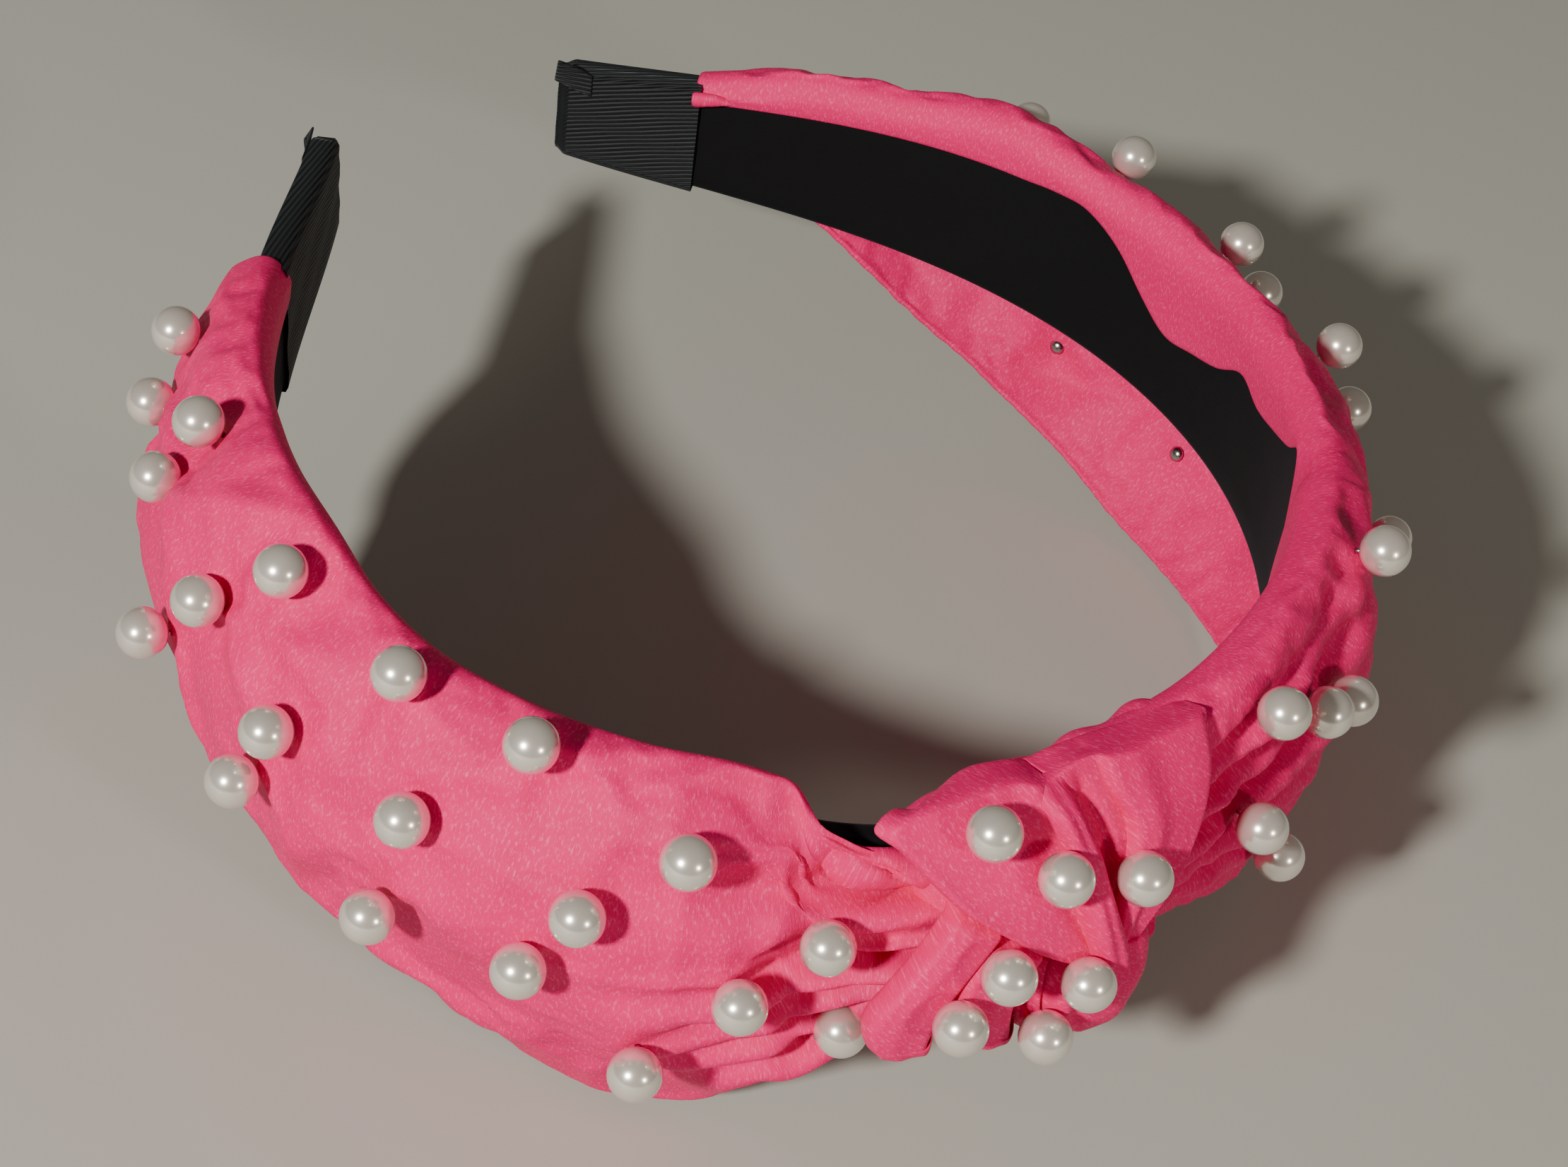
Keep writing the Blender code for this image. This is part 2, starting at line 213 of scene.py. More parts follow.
def grosgrain():
    """Woven grosgrain ribbon: even cross ribs half a millimetre apart with a dull thread sheen."""
    made, tree, shader = new_material("grosgrain_ribbon_woven")
    ribs = add(tree, "ShaderNodeTexWave", {"wave_profile": "SIN"},
               Vector=cloth_coordinates(tree, (1, 1, 1, 90)),
               Scale=0.46, Distortion=0.35, Detail=1.0, Detail_Scale=2.0)
    thread = add(tree, "ShaderNodeTexNoise", None, Vector=cloth_coordinates(tree, (9, 2, 1, 0)),
                 Scale=1.0, Detail=3.0)
    # Painted shade along the ribs: the rib wave also sets the colour, lighter on each crest and darker in
    # each trough.
    tone = add(tree, "ShaderNodeMix", {"data_type": "RGBA"}, i0=ribs.outputs[1],
               i6=colour("#020405"), i7=colour("#0e1519"))
    height = add(tree, "ShaderNodeMath", {"operation": "MULTIPLY_ADD"},
                 i0=thread.outputs[0], i1=0.25, i2=ribs.outputs[1])
    bump = add(tree, "ShaderNodeBump", None, Height=height.outputs[0], Strength=0.8, Distance=0.0002)
    set_on(tree, shader, Base_Color=tone.outputs[2], Roughness=0.6, Sheen_Weight=0.15,
           Sheen_Roughness=0.4, Sheen_Tint=colour("#a7b3b8"), Normal=bump.outputs[0])
    shader.inputs["Specular IOR Level"].default_value = 0.3
    return made


def pearl():
    """Moulded bead dipped in pearl lacquer: ivory body under a clear glossy coat."""
    made, tree, shader = new_material("pearl_lacquer_dipped_bead")
    place_of = add(tree, "ShaderNodeTexCoord")
    cloud = add(tree, "ShaderNodeTexNoise", None, Vector=place_of.outputs["Object"], Scale=420.0, Detail=2.0)
    tone = add(tree, "ShaderNodeMix", {"data_type": "RGBA"}, i0=cloud.outputs[0],
               i6=colour("#e4ded4"), i7=colour("#f6f0e6"))
    set_on(tree, shader, Base_Color=tone.outputs[2], Roughness=0.23, Metallic=0.66,
           Coat_Weight=1.0, Coat_Roughness=0.04, Subsurface_Weight=0.05,
           Subsurface_Radius=(1.0, 0.8, 0.6), Subsurface_Scale=0.001)
    shader.inputs["Specular IOR Level"].default_value = 0.6
    return made


def steel():
    """Stamped steel rivet, tumbled bright: small sharp reflections."""
    made, tree, shader = new_material("steel_rivet_tumbled")
    set_on(tree, shader, Base_Color=colour("#b9b8b4"), Metallic=1.0, Roughness=0.22)
    return made


SATIN, VELVET, GROSGRAIN, PEARL, STEEL = satin(), velvet(), grosgrain(), pearl(), steel()


# Mesh helpers.

def grid_object(name, rows, uvs, mat):
    """A grid of points with the cloth's flat pattern as its UV map, in millimetres."""
    count, across = len(rows), len(rows[0])
    points = [tuple(p) for row in rows for p in row]
    faces = [
        (i * across + j, i * across + j + 1, (i + 1) * across + j + 1, (i + 1) * across + j)
        for i in range(count - 1) for j in range(across - 1)
    ]
    mesh = bpy.data.meshes.new(name)
    mesh.from_pydata(points, [], faces)
    flat = [uv for row in uvs for uv in row]
    layer = mesh.uv_layers.new(name="cloth")
    for loop in mesh.loops:
        layer.data[loop.index].uv = flat[loop.vertex_index]
    mesh.materials.append(mat)
    mesh.shade_smooth()
    obj = bpy.data.objects.new(name, mesh)
    bpy.context.scene.collection.objects.link(obj)
    return obj


def apply_all(obj):
    graph = bpy.context.evaluated_depsgraph_get()
    mesh = bpy.data.meshes.new_from_object(obj.evaluated_get(graph))
    obj.modifiers.clear()
    obj.data = mesh
    mesh.shade_smooth()


def thicken(obj, thickness, side=1.0, levels=1):
    """Gives a sheet its thickness, on the side its faces point to or on the other, and rounds it."""
    solid = obj.modifiers.new("Thickness", "SOLIDIFY")
    solid.thickness = thickness * MM
    solid.offset = side
    if levels:
        smoother = obj.modifiers.new("Smooth", "SUBSURF")
        smoother.levels = smoother.render_levels = levels
    apply_all(obj)


def resample(points, count):
    """A soft curve through section points, resampled to even steps."""
    pts = np.array(points, float)
    ends = np.vstack([2 * pts[0] - pts[1], pts, 2 * pts[-1] - pts[-2]])
    dense = []
    for i in range(1, len(ends) - 2):
        a, b, c, d = ends[i - 1 : i + 3]
        for t in np.linspace(0, 1, 12, endpoint=False):
            dense.append(0.5 * (2 * b + (c - a) * t + (2 * a - 5 * b + 4 * c - d) * t**2
                                + (3 * b - a - 3 * c + d) * t**3))
    dense.append(pts[-1])
    dense = np.array(dense)
    walk = np.concatenate([[0], np.cumsum(np.linalg.norm(np.diff(dense, axis=0), axis=1))])
    even = np.linspace(0, walk[-1], count)
    return np.stack([np.interp(even, walk, dense[:, k]) for k in (0, 1)], 1), even


# Pearl studs, read from the frame's own nodes.

def stud_axis(node):
    """Where a stud's bead ends and which way it points, from its turned shape."""
    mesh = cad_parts[node].data
    points = np.array([v.co[:] for v in mesh.vertices])
    points = np.unique(np.round(points, 7), axis=0)
    middle = points.mean(0)
    axis = np.linalg.svd(points - middle)[2][0]
    along = (points - middle) @ axis
    wide = np.linalg.norm(points - middle - np.outer(along, axis), axis=1)
    if along[wide.argmax()] < 0:
        axis, along = -axis, -along
    pole = points[along.argmax()]
    return Vector(pole), Vector(axis)


STUDS = {name: stud_axis(name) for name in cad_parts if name.startswith("pearl_")}
BEAD = 3.0
SEAT_DEPTH = 2 * BEAD + 0.55
PULL_PASSES = 3


def seat_of(name):
    """The point of the cloth's outer face under a bead."""
    pole, axis = STUDS[name]
    return pole - axis * SEAT_DEPTH * MM, axis


def pull_to_studs(points, names, reach):
    """Moves the cloth smoothly so that it passes under each bead, held down at its pin."""
    points = np.array([tuple(p) for p in points])
    for name in list(names) * PULL_PASSES:
        seat, axis = seat_of(name)
        away = np.linalg.norm(points - np.array(seat), axis=1)
        near = points[away.argmin()]
        shift = (Vector(seat) - Vector(near)).dot(axis)
        shift = max(min(shift, 4.0 * MM), -4.0 * MM)
        depth = (np.array(seat) - points) @ np.array(axis) / MM
        weight = np.exp(-((away / (reach * MM)) ** 2)) * np.clip((5.0 - depth) / 2.0, 0, 1)
        points += np.outer(weight * shift, np.array(axis))
    return points


# Covers: the satin sleeve of each arm as one sheet, from the lip inside, over the top, to the hem.

LEFT = {
    "hem": table([(-160, -9.5), (-150, -15), (-138, -21), (-120, -26), (-105, -28), (-85, -32),
        (-70, -36.2), (-58, -38.6), (-48, -37.4), (-38, -31.5), (-30, -23), (-18, -18)]),
    "belly": table([(-160, 1.5), (-150, 6), (-138, 9.5), (-120, 11), (-100, 11), (-70, 10.5), (-50, 9.5),
        (-40, 7.5), (-30, 6), (-18, 5)]),
    "puff": table([(-160, 1.0), (-150, 2.5), (-130, 3.8), (-114, 5.2), (-103, 5.0), (-94, 2.2),
        (-86, 0.9), (-72, 0.6), (-57, 0.6), (-45, 0.2), (-38, -2.6), (-34, -5.5), (-28, -7.8),
        (-18, -8.5)]),
    "lip": table([(-160, 4), (-120, 5), (-60, 5), (-18, 6)]),
}
RIGHT = {
    "hem": table([(-8, -14), (0, -17.5), (12, -22), (22, -26), (32, -30), (50, -34), (70, -37.2),
        (88, -39.4), (102, -38.4), (116, -33), (128, -28), (140, -22.5), (149, -16), (158, -10.6),
        (165, -9.4), (173, -8.8)]),
    "belly": table([(-8, 3.4), (0, 3.8), (12, 3.5), (24, 3.4), (40, 5), (56, 7.0), (75, 9.5),
        (100, 10.5), (120, 10), (138, 8), (150, 5.5), (160, 3.4), (168, 1.6), (173, 0.8)]),
    "puff": table([(-8, 0.2), (0, 0.5), (8, 0.8), (14, 1.4), (20, 2.0), (60, 1.6), (80, 1.6), (100, 1.6),
        (115, 3.0), (128, 5.0), (144, 3.7), (160, 3.3), (167, 1.8), (173, 0.5)]),
    "lip": table([(-8, 27), (30, 26), (44, 21), (49, 17), (53, 8.5), (57, 0.9), (62, 3.4), (68, 5.6),
        (74, 6.8), (80, 5.6), (85, 8.6), (91, 10.4), (97, 11.3), (102, 8.6), (108, 3.8), (114, 0.8),
        (125, 0.6), (173, 0.6)]),
}


def section(s, side):
    """Control points of the sleeve's outer face at s, as (o, h)."""
    half = half_width(s)
    top = half + side["puff"](s)
    hem = side["hem"](s)
    belly = side["belly"](s)
    lip = max(side["lip"](s), 0.4)
    tucked = smooth(0.8, 3.6, -side["puff"](s))
    inner = -2.6 + 4.6 * tucked - 0.7 * smooth(12, 20, lip)
    points = [
        (inner, (half - lip - 1.2) * (1 - tucked) + (top - 4.5) * tucked),
        (inner - 0.25 * (1 - tucked), (half - lip * 0.5) * (1 - tucked) + (top - 3.4) * tucked),
        (inner, top - 2.2), (-0.9 + 3.3 * tucked, top + 0.1 - 0.9 * tucked), (1.4 + 1.9 * tucked, top + 0.3),
    ]
    for t in (0.06, 0.16, 0.28, 0.42, 0.56, 0.7, 0.82, 0.92):
        swell = belly * math.sin(math.pi * 0.985 * t**0.9)
        points.append((COVER_IN + 1.0 + swell, top - 0.6 + (hem - top + 0.6) * t))
    points += [(COVER_IN + 0.6, hem + 0.2), (COVER_IN - 0.9, hem - 0.2)]
    return points


def pleats(h, along, near, lines, spread, deep, power):
    """Grooves along slanting lines, each with a soft ridge under it, that open away from the knot."""
    value = 0.0
    for h0, slope, width, depth in lines:
        line = h0 + slope * along
        width = width * (1 + spread * (1 - near))
        value += -depth * deep * math.exp(-(((h - line) / width) ** 2))
        value += depth * 0.9 * math.exp(-(((h - line + 2.6) / (width * 1.6)) ** 2))
    return value * near**power


def pleats_left(s, h):
    """Soft folds that run into the left side of the knot."""
    near = smooth(-66, -30, s)
    if near <= 0:
        return 0.0
    lines = ((3.2, -1.0, 1.6, 1.3), (-2.0, 2.8, 1.0, 0.6), (-4.8, 3.6, 0.9, 1.7),
             (-8.4, 6.0, 0.8, 1.4), (-12.5, 7.5, 0.9, 1.3), (-17.5, 8.0, 1.2, 1.0))
    return pleats(h, (s + 30) / 20, near, lines, spread=1.3, deep=2.7, power=1.4)


def pleats_right(s, h):
    """Folds that leave the right side of the knot and open along the arm."""
    near = 1 - smooth(10, 62, s)
    if near <= 0:
        return 0.0
    lines = ((8.5, 3.2, 1.2, 1.1), (3.5, 2.2, 1.3, 1.3), (-1.5, 0.2, 1.2, 1.2), (-6.5, -2.2, 1.3, 1.0),
             (-12.0, -3.6, 1.4, 0.9), (-17.5, -4.5, 1.5, 0.7))
    return pleats(h, (s - 8) / 20, near, lines, spread=1.2, deep=2.5, power=1.3)


def settle(obj, pins, most):
    """Lets the sheet settle as cloth a little larger than its place, held at the pinned points."""
    start = np.array([v.co[:] for v in obj.data.vertices])
    group = obj.vertex_groups.new(name="pins")
    for index, weight in enumerate(pins):
        if weight > 0:
            group.add([index], float(weight), "REPLACE")
    cloth = obj.modifiers.new("Cloth", "CLOTH")
    cloth.settings.quality = 6
    cloth.settings.mass = 0.12
    cloth.settings.tension_stiffness = 25
    cloth.settings.compression_stiffness = 20
    cloth.settings.shear_stiffness = 8
    cloth.settings.bending_stiffness = 0.02
    cloth.settings.shrink_min = -0.035
    cloth.settings.vertex_group_mass = "pins"
    cloth.settings.effector_weights.gravity = 0.0
    cloth.point_cache.frame_start = 1
    cloth.point_cache.frame_end = 16
    for number in range(1, 17):
        bpy.context.scene.frame_set(number)
    graph = bpy.context.evaluated_depsgraph_get()
    result = obj.evaluated_get(graph).to_mesh()
    moved = np.array([v.co[:] for v in result.vertices])
    obj.evaluated_get(graph).to_mesh_clear()
    obj.modifiers.clear()
    bpy.context.scene.frame_set(1)
    step = moved - start
    size = np.linalg.norm(step, axis=1, keepdims=True)
    step *= np.minimum(1.0, most * MM / np.maximum(size, 1e-9))
    for vert, point in zip(obj.data.vertices, start + step):
        vert.co = point
    obj.vertex_groups.clear()


def sleeve(name, first, last, side, gathers, studs, knot_end):
    """The satin over one arm: drawn by its sections, settled as cloth, pleated and held by its studs."""
    count = int(abs(last - first) / 1.15) + 1
    across = 76
    far = max(abs(first), abs(last))
    rows, uvs, pins, front = [], [], [], []
    for s in np.linspace(first, last, count):
        curve, walk = resample(section(s, side), across)
        rows.append([place(s, o, h) for o, h in curve])
        uvs.append([(s, w) for w in walk])
        at_knot = abs(s - knot_end) < 4
        at_wrap = abs(s) > far - 6
        front.append([smooth(-1.0, 3.0, o) for o, h in curve])
        for j in range(across):
            held = at_knot or at_wrap or front[-1][j] < 0.1
            pins.append(1.0 if held else (0.7 if j > across - 4 else 0.0))
    obj = grid_object(name, rows, uvs, SATIN)
    points = np.array([v.co[:] for v in obj.data.vertices])
    for stud in studs:
        seat, axis = seat_of(stud)
        close = np.linalg.norm(points - np.array(seat), axis=1)
        pins[int(close.argmin())] = 1.0
    settle(obj, pins, 1.6)
    obj.data.update()
    normals = np.array([v.normal[:] for v in obj.data.vertices])
    points = np.array([v.co[:] for v in obj.data.vertices])
    centre = np.array([place(s, 0.0, 0.0)[:] for s in np.linspace(first, last, count)])
    flip = 1.0
    middle = across // 2 + 8
    sample = points[(count // 2) * across + middle] - centre[count // 2]
    if sample @ normals[(count // 2) * across + middle] < 0:
        flip = -1.0
    for i, s in enumerate(np.linspace(first, last, count)):
        for j in range(across):
            k = i * across + j
            h = (points[k][2] - ORIGIN[2]) / MM
            lump = noise.noise(Vector((s * 0.045, h * 0.07, 3.7))) * 0.9
            lump += noise.noise(Vector((s * 0.13, h * 0.16, 8.1))) * 0.35
            fade = front[i][j] * (1 - smooth(far - 14, far - 2, abs(s)))
            value = (gathers(s, h) + lump) * fade
            points[k] += normals[k] * flip * value * MM
    points = pull_to_studs(points, studs, 5.5)
    for vert, point in zip(obj.data.vertices, points):
        vert.co = point
    if flip < 0:
        obj.data.flip_normals()
    obj.data.update()
    thicken(obj, 0.9, side=-1.0)
    return obj


left_studs = sorted(n for n in STUDS if n.startswith("pearl_left"))
right_studs = sorted(n for n in STUDS if n.startswith("pearl_right"))
knot_studs = sorted(n for n in STUDS if n.startswith("pearl_knot"))
sleeve_left = sleeve("satin_sleeve_left", -160.0, -20.0, LEFT, pleats_left, left_studs, -20.0)
sleeve_right = sleeve("satin_sleeve_right", -8.0, 173.5, RIGHT, pleats_right, right_studs, -8.0)


# Knot: folds laid over its rounded body, each between two edges drawn on the body's face.

def body_height(h):
    drop = 0.57 * ((h + 12) / 24) ** 2
    return 1.1 + 15 * (0.92 - drop)


CREST = table([(-40, 9.6), (-36, 11.2), (-34, 12.0), (-30, 13.2), (-26, 14.0), (-22, 14.7),
               (-18.5, 14.9), (-15.5, 14.4), (-12.5, 15.2), (-5, 15.2), (6, 15.2)])


def over_top(s, start, crest, t):
    """Past the crest: over the band's top edge, or tucked in front of it at the knot's left corner."""
    over = smooth(-31, -21, s)
    top = ((start, crest), (start * 0.55 + 0.6, crest - 0.2), (0.4, crest - 1.1), (-1.7, crest - 1.9),
        (-2.6, crest - 3.8), (-2.7, crest - 8.0))
    tuck = ((start, crest), (start - 1.0, crest + 0.1), (start - 2.0, crest - 0.7),
        (start - 2.7, crest - 2.4), (2.1, crest - 4.6), (2.0, crest - 7.0))
    at = min(max(t, 0.0), 1.0) * 5
    o = [p[0] * over + q[0] * (1 - over) for p, q in zip(top, tuck)]
    h = [p[1] * over + q[1] * (1 - over) for p, q in zip(top, tuck)]
    return float(np.interp(at, range(6), o)), float(np.interp(at, range(6), h))


def knot_point(s, h, lift):
    """A point over the knot's body: past its top or bottom it turns in towards the band."""
    crest = CREST(s)
    lift += (max(lift, -1.0) - lift) * smooth(crest - 4.0, crest, h)
    if h > crest:
        o, h = over_top(s, body_height(crest) + lift, crest, (h - crest) / 6.0)
        return place(s, o, h + lift * 0.25)
    if h < -14:
        turn = (-14 - h) / 7.0
        angle = min(turn, 1.3) * 1.2
        o = body_height(-14) * math.cos(angle) + lift * 0.6
        return place(s, o, -14 - 6.0 * math.sin(angle) - lift * 0.7)
    return place(s, body_height(h) + lift, h + lift * 0.25)


def fold(name, left_edge, right_edge, proud, studs, ridges=(), sink=4.5, ends=(0.0, 0.12), roll=0.32):
    """A padded fold between two edges, rounded at its sides and tucked in at its ends."""
    count, across = 64, 40
    rows, uvs = [], []
    a, _ = resample(left_edge, count)
    b, _ = resample(right_edge, count)
    for i in range(count):
        u = i / (count - 1)
        row, uv = [], []
        end = smooth(0, max(ends[0], 1e-6), u) if ends[0] else 1.0
        end *= 1 - smooth(1 - ends[1], 1.0, u) if ends[1] else 1.0
        for j in range(across):
            v = j / (across - 1)
            s = a[i][0] + (b[i][0] - a[i][0]) * v
            h = a[i][1] + (b[i][1] - a[i][1]) * v
            edge = min(v, 1 - v) / roll
            bulge = math.sqrt(max(1 - (1 - min(edge, 1.0)) ** 2, 0.0))
            lift = proud - sink * (1 - bulge) - sink * (1 - end)
            for centre, width, size, drift in ridges:
                lift += size * math.exp(-(((v - centre - drift * u) / width) ** 2)) * bulge
            lift += 0.5 * noise.noise(Vector((s * 0.16, h * 0.16, proud * 3 + 1.7))) * bulge
            row.append(knot_point(s, h, lift))
            uv.append((s * 0.8 + h * 0.6, h * 0.8 - s * 0.6))
        rows.append(row)
        uvs.append(uv)
    obj = grid_object(name, rows, uvs, SATIN)
    points = pull_to_studs([v.co for v in obj.data.vertices], studs, 4.0) if studs else None
    if points is not None:
        for vert, point in zip(obj.data.vertices, points):
            vert.co = point
    obj.data.update()
    middle = obj.data.polygons[len(obj.data.polygons) // 2]
    outward = place(-14, 20, 0) - place(-14, 0, 0)
    if middle.normal.dot(outward) < 0:
        obj.data.flip_normals()
    thicken(obj, 0.8, side=-1.0)
    return obj


folds = {
    "knot_under_cloth": fold(
        "knot_under_cloth",
        [(-28, 12.5), (-28.5, 9), (-28, 0), (-27, -8), (-25, -16), (-22, -20)],
        [(3, 12.5), (3, 8), (1, 0), (-3, -6), (-6, -14), (-10, -20)],
        -2.6, [], ridges=((0.3, 0.05, -0.8, 0.1), (0.55, 0.05, -0.9, 0.1)), sink=5, ends=(0, 0.1)),
    "knot_front_fold": fold(
        "knot_front_fold",
        [(-27, 22), (-30, 17), (-33.4, 12.0), (-31.3, 9.9), (-28, 6.5), (-25, 3.5), (-21.5, 0.8),
         (-18, -1.9), (-15, -3.8), (-12, -5)],
        [(-15.2, 22), (-15.4, 17), (-14.8, 13), (-13.9, 9.5), (-13.1, 6), (-12.6, 3), (-12.1, 0.2),
         (-11.7, -2.2), (-11.4, -4.6)],
        0.2, ["pearl_knot_01", "pearl_knot_02"],
        ridges=((0.10, 0.05, 0.25, 0.0), (0.78, 0.09, -0.5, 0.0)), sink=4.2, ends=(0, 0.05), roll=0.12),
    "knot_right_fold": fold(
        "knot_right_fold",
        [(-10.8, 22), (-10.6, 17), (-9.9, 13), (-8.0, 9), (-8.4, 5.6), (-9.4, 2.2), (-9.9, -1),
         (-10, -4), (-9.8, -6.5)],
        [(4.8, 22), (5.0, 17), (4.6, 12), (3.0, 8.4), (0.6, 4.6), (-2.6, 1.0), (-5.8, -2.2), (-8.0, -5),
         (-9.2, -7)],
        0.0, ["pearl_knot_03"],
        ridges=((0.3, 0.12, 0.4, 0.0),), sink=4.5, ends=(0, 0.05), roll=0.14),
    "knot_recess": fold(
        "knot_recess",
        [(-15.5, 22), (-15.4, 17), (-13.6, 11.5), (-12.4, 7.5), (-11.6, 3.5), (-11, 0)],
        [(-8.6, 22), (-8.8, 17), (-7.6, 12), (-6.0, 8), (-7.0, 4), (-9.2, 0)],
        -1.5, [], ridges=((0.35, 0.1, -0.8, 0.1),), sink=3, ends=(0, 0.1), roll=0.25),
    "knot_tongue": fold(
        "knot_tongue",
        [(-18.8, 16), (-18.2, 14.5), (-17.0, 12), (-15.6, 8.2), (-14.7, 4.4), (-14.0, 0.8),
         (-13.3, -2.4), (-12.4, -5.6), (-10.6, -9.2)],
        [(-14.4, 16), (-13.6, 14.5), (-12.4, 11.6), (-11.2, 8), (-10.4, 4), (-9.6, 0.4), (-8.7, -2.8),
         (-8.5, -5.8), (-9.2, -9)],
        2.5, [], ridges=((0.62, 0.13, -0.45, -0.1),), sink=5.0, ends=(0.16, 0.08), roll=0.5),
    "knot_lower_strap_fold": fold(
        "knot_lower_strap_fold",
        [(-24.5, 5), (-26.8, 1.5), (-29.0, -2.2), (-31, -5.6), (-32.6, -9.4), (-32, -14), (-29, -18)],
        [(-19.4, 1.6), (-21.2, -0.6), (-23.0, -3.4), (-24.6, -6.4), (-25.6, -9.8), (-26.2, -14), (-25, -18)],
        -0.5, ["pearl_knot_05"],
        ridges=((0.35, 0.16, 0.3, 0.05),), sink=3.2, ends=(0.1, 0.1), roll=0.18),
    "knot_second_strap": fold(
        "knot_second_strap",
        [(-21.5, 1), (-23.4, -2), (-24.8, -5.2), (-25, -9), (-24.2, -14), (-22.4, -19)],
        [(-15.5, -2), (-16.8, -4), (-18.0, -6.6), (-18.9, -9.4), (-18.4, -14.5), (-17.6, -19)],
        -0.2, ["pearl_knot_04"], ridges=((0.55, 0.14, 0.3, 0.0),), sink=3.2, ends=(0.1, 0.1), roll=0.2),
    "knot_third_strap": fold(
        "knot_third_strap",
        [(-19, -2), (-19.4, -6), (-19.2, -10), (-18.2, -14), (-16.6, -18)],
        [(-14.6, -3), (-15.2, -6), (-15.4, -10), (-14.6, -14), (-13, -18)],
        -1.9, ["pearl_knot_07"], ridges=((0.4, 0.08, -0.6, 0.0), (0.75, 0.08, 0.5, 0.0)),
        sink=3, ends=(0.1, 0.1), roll=0.3),
    "knot_lower_loop_fold": fold(
        "knot_lower_loop_fold",
        [(-13, -2.4), (-15.8, -4.4), (-16.6, -8), (-16.4, -11.4), (-15.4, -15.4), (-13.4, -20)],
        [(-8, -2.6), (-5.2, -4.0), (-4.8, -7.6), (-5.4, -11.4), (-6.6, -15.4), (-8.6, -20)],
        0.5, ["pearl_knot_06"], ridges=((0.17, 0.06, 0.5, 0.0), (0.3, 0.05, -0.6, 0.0)),
        sink=4.5, ends=(0.12, 0.1), roll=0.3),
}


def back_wrap():
    """The knot's cloth where it passes round the inside of the band, gathered into soft ribs."""
    crown = table([(-30, 4.5), (-24, 7.0), (-18, 9.2), (-12, 10.8), (-6, 11.8), (5, 12.4)])
    rows, uvs = [], []
    for s in np.linspace(-29.5, 4.5, 70):
        top = crown(s)
        path = [(3.2, top - 1.2), (1.0, top), (-1.2, top), (-3.2, top - 1.2), (-3.7, top - 4), (-3.8, 2),
                (-3.8, -4), (-3.7, -10), (-3.1, -13.4), (-1.0, -14.5), (1.6, -14.9), (4.4, -15.6), (6.5, -17)]
        curve, walk = resample(path, 60)
        side = min(s + 29.5, 4.5 - s)
        sink = 1.6 * (1 - smooth(0, 2.4, side))
        row = []
        for o, h in curve:
            rib = 0.45 * math.sin(s * 0.75 + 0.9 * math.sin(h * 0.16))
            rib += 0.5 * noise.noise(Vector((s * 0.2, h * 0.09, 5.3)))
            centre = Vector((o - 0.6, h / 6)).normalized()
            out = rib - sink
            low = 1 - smooth(-2.0, 1.0, o) * (h > 0)
            row.append(place(s, o + centre.x * out * low, h + centre.y * out * low))
        rows.append(row)
        uvs.append([(s, w) for w in walk])
    obj = grid_object("knot_back_wrap", rows, uvs, SATIN)
    obj.data.update()
    middle = obj.data.polygons[35 * 59 + 25]
    if middle.normal.dot(place(-14, -20, 0) - place(-14, 0, 0)) < 0:
        obj.data.flip_normals()
    thicken(obj, 0.8)
    return obj


folds["knot_back_wrap"] = back_wrap()


# Lining and core as one dark band per side, pinched a little where the knot holds it.

pinch = table([(-110, 0), (-90, 0.8), (-72, 2.0), (-57, 4.4), (-43, 6.2), (-36, 7.6),
               (-30, 8.2), (-20, 8.0), (-8, 4.0), (2, 0.6), (6, 0.0), (20, 0.0)])


def band(name, first, last):
    """The core with its lining glued on: a thin bar with rounded edges, its inner face napped."""
    rows, uvs = [], []
    for s in np.linspace(first, last, int(abs(last - first) / 1.5) + 1):
        half = half_width(s)
        top, base = half - pinch(s), -half
        wave = 0.12 * noise.noise(Vector((s * 0.08, 2.2, 0.5)))
        loop = [(-1.9 + wave, base + 0.9), (-1.75, base + 0.35), (-1.2, base), (0.3, base), (0.8, base + 0.4)]
        loop += [(0.8, top - 0.4), (0.3, top), (-1.2, top), (-1.75, top - 0.35), (-1.9 + wave, top - 0.9)]
        for k in range(1, 8):
            nap = 0.08 * noise.noise(Vector((s * 0.2, k * 1.3, 1)))
            loop.append((-1.9 + wave * math.cos(k) - nap, top - 0.9 + (base - top + 1.8) * k / 8))
        loop.append(loop[0])
        rows.append([place(s, o, h) for o, h in loop])
        walk = np.concatenate([[0], np.cumsum(np.linalg.norm(np.diff(np.array(loop), axis=0), axis=1))])
        uvs.append([(s, w) for w in walk])
    obj = grid_object(name, rows, uvs, VELVET)
    bm = bmesh.new()
    bm.from_mesh(obj.data)
    bmesh.ops.remove_doubles(bm, verts=bm.verts, dist=1e-6)
    bmesh.ops.holes_fill(bm, edges=[e for e in bm.edges if e.is_boundary], sides=0)
    bmesh.ops.recalc_face_normals(bm, faces=bm.faces)
    bm.to_mesh(obj.data)
    bm.free()
    obj.data.shade_smooth()
    return obj


band_left = band("lined_band_left", -191.6, -11.0)
band_right = band("lined_band_right", -11.0, 191.6)


# Grosgrain end wraps with their cut tails.

